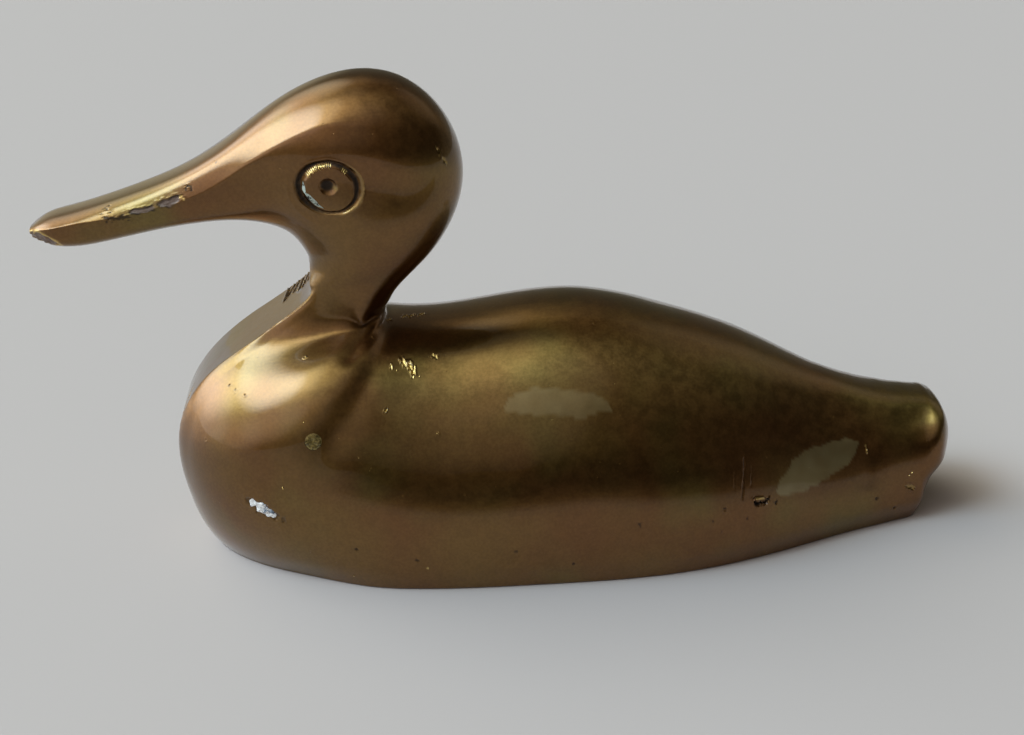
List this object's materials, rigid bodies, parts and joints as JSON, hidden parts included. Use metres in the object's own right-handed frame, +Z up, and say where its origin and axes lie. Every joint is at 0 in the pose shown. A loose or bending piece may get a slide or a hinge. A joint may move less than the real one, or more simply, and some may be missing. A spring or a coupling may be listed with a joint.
{
  "type": "duck figurine",
  "caption": "Small swimming duck in satin cast brass: solid head with a long bill brazed by its spigot to a hollow body that stands on a flat rim.",
  "frame": {"origin": "on the table under the middle of the duck: halfway from the bill's tip to the tail's end, on the plane of symmetry, at the level of the rim", "axes": "+X towards the tail (the bill points along -X), +Y to the duck's right side, +Z up"},
  "size_m": [0.133, 0.0432, 0.0696],
  "materials": {
    "cast_brass": "satin polished cast brass, toned brown, clear lacquered",
    "plug_brass": "drawn brass rod, filed flush and toned",
    "brazing_metal": "brazing brass as it cooled, unpolished"
  },
  "bodies": {
    "root": {"body_shell": "cast_brass", "head_and_neck": "cast_brass", "core_pin_plugs": "plug_brass", "neck_braze": "brazing_metal"}
  },
  "joints": []
}
